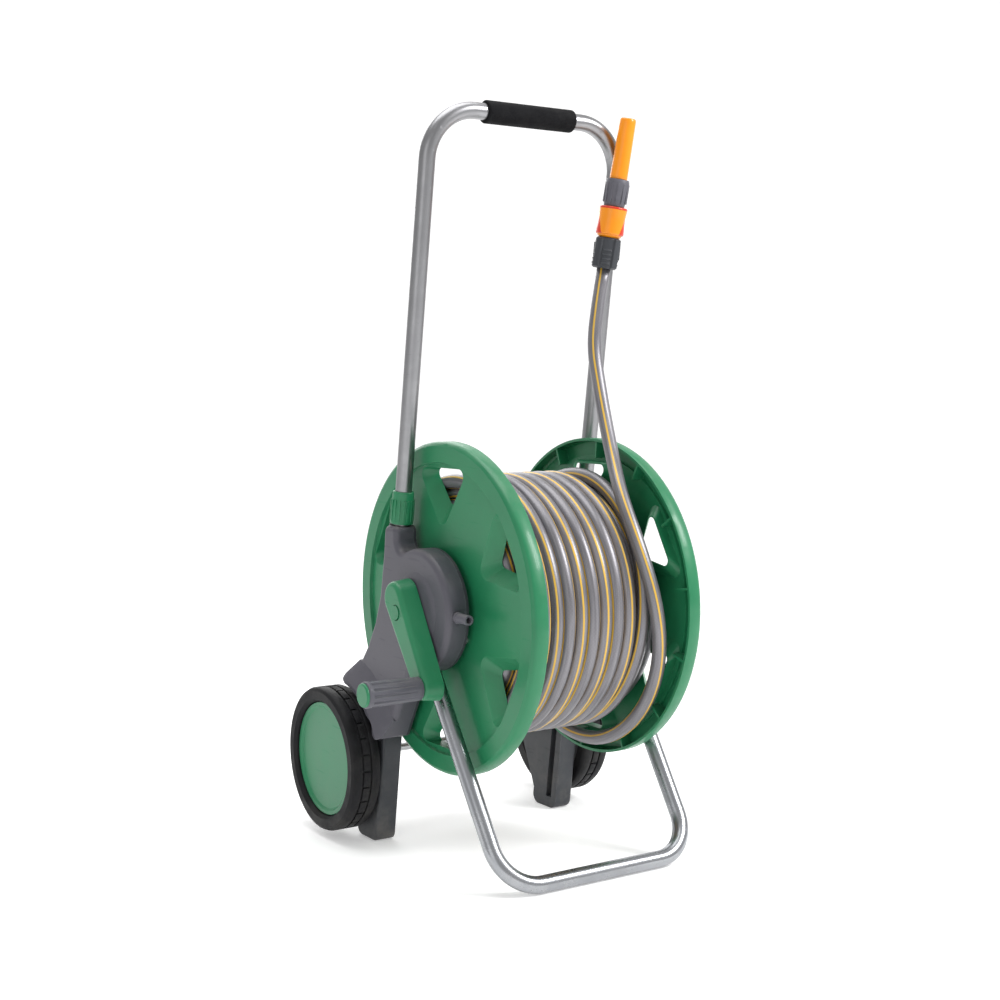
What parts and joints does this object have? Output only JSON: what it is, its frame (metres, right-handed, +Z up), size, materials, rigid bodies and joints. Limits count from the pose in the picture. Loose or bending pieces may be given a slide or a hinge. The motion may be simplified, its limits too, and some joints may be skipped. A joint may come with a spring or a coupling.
{
  "type": "garden hose reel cart",
  "caption": "Two-wheeled garden hose cart: a cranked reel between side housings, a telescoping push handle, a tubular foot and a wound hose with its nozzle.",
  "frame": {"origin": "middle of the cart's box, without the hose, on the ground", "axes": "+Z up, +X along the reel's axis away from the crank, -Y to the front, where the foot loop stands"},
  "size_m": [0.4288, 0.4378, 0.865],
  "materials": {
    "green_plastic": "satin moulded",
    "grey_plastic": "fine grained",
    "dark_grey_plastic": "fine grained",
    "orange_plastic": "glossy moulded",
    "bearing_plastic": "smooth",
    "handle_tube": "satin drawn",
    "foot_tube": "bright zinc",
    "steel": "zinc plated",
    "foam": "foamed",
    "tyre": "moulded",
    "seal": "smooth",
    "hose": "pearly, striped"
  },
  "bodies": {
    "cart": {"left_side_frame": "dark_grey_plastic", "right_side_frame": "dark_grey_plastic", "left_side_cover": "grey_plastic", "right_side_cover": "grey_plastic", "left_bearing_bush": "bearing_plastic", "right_bearing_bush": "bearing_plastic", "wheel_axle": "steel", "left_axle_nut": "steel", "right_axle_nut": "steel", "left_cover_screws": "steel", "right_cover_screws": "steel", "left_foot_bolt": "steel", "right_foot_bolt": "steel", "foot_tube": "foot_tube", "left_collet": "dark_grey_plastic", "right_collet": "dark_grey_plastic", "water_inlet": "dark_grey_plastic", "hose_coil": "hose", "hose_free": "hose"},
    "reel": {"left_flange": "green_plastic", "right_flange": "green_plastic", "drum": "green_plastic", "left_reel_screws": "steel", "right_reel_screws": "steel", "left_shaft": "dark_grey_plastic", "right_shaft": "dark_grey_plastic", "shaft_seals": "seal", "drum_outlet": "dark_grey_plastic", "crank_arm": "green_plastic", "crank_cap": "green_plastic", "crank_pin": "steel"},
    "crank_handle": {"crank_grip": "dark_grey_plastic", "grip_end_cap": "green_plastic"},
    "left_wheel": {"left_tyre": "tyre", "left_rim": "dark_grey_plastic", "left_hub_disc": "green_plastic"},
    "right_wheel": {"right_tyre": "tyre", "right_rim": "dark_grey_plastic", "right_hub_disc": "green_plastic"},
    "handle": {"handle_tube": "handle_tube", "foam_grip": "foam", "nozzle_clip": "dark_grey_plastic", "connector_nut": "dark_grey_plastic", "connector_body": "orange_plastic", "nozzle_collar": "dark_grey_plastic"},
    "left_clamp": {"left_collar": "green_plastic"},
    "right_clamp": {"right_collar": "green_plastic"},
    "sleeve": {"release_sleeve": "orange_plastic"},
    "nozzle": {"nozzle_barrel": "orange_plastic"}
  },
  "joints": [
    {"name": "reel_spin", "type": "hinge", "parent": "cart", "child": "reel", "pos_m": [0.0274, -0.0289, 0.292], "axis": [1, 0, 0], "continuous": true},
    {"name": "crank_handle_spin", "type": "hinge", "parent": "reel", "child": "crank_handle", "pos_m": [-0.18, -0.07995, 0.21487], "axis": [1, 0, 0], "continuous": true},
    {"name": "left_wheel_spin", "type": "hinge", "parent": "cart", "child": "left_wheel", "pos_m": [-0.14, 0.1321, 0.095], "axis": [1, 0, 0], "continuous": true},
    {"name": "right_wheel_spin", "type": "hinge", "parent": "cart", "child": "right_wheel", "pos_m": [0.1954, 0.1321, 0.095], "axis": [1, 0, 0], "continuous": true},
    {"name": "handle_slide", "type": "slide", "parent": "cart", "child": "handle", "axis": [0, -0.1478, 0.989], "range_m": [-0.12, 0], "deforming": ["hose_free"]},
    {"name": "left_clamp_twist", "type": "hinge", "parent": "cart", "child": "left_clamp", "pos_m": [-0.1026, 0.02715, 0.404], "axis": [0, -0.1478, 0.989], "range_deg": [0, 90]},
    {"name": "right_clamp_twist", "type": "hinge", "parent": "cart", "child": "right_clamp", "pos_m": [0.1574, 0.02715, 0.404], "axis": [0, -0.1478, 0.989], "range_deg": [0, 90]},
    {"name": "nozzle_twist", "type": "hinge", "parent": "handle", "child": "nozzle", "pos_m": [0.1354, -0.0409, 0.684], "axis": [0.0986, -0.1334, 0.9861], "range_deg": [0, 180]},
    {"name": "sleeve_slide", "type": "slide", "parent": "handle", "child": "sleeve", "axis": [0.0986, -0.1334, 0.9861], "range_m": [-0.003, 0], "stiffness_N_per_m": 400}
  ]
}
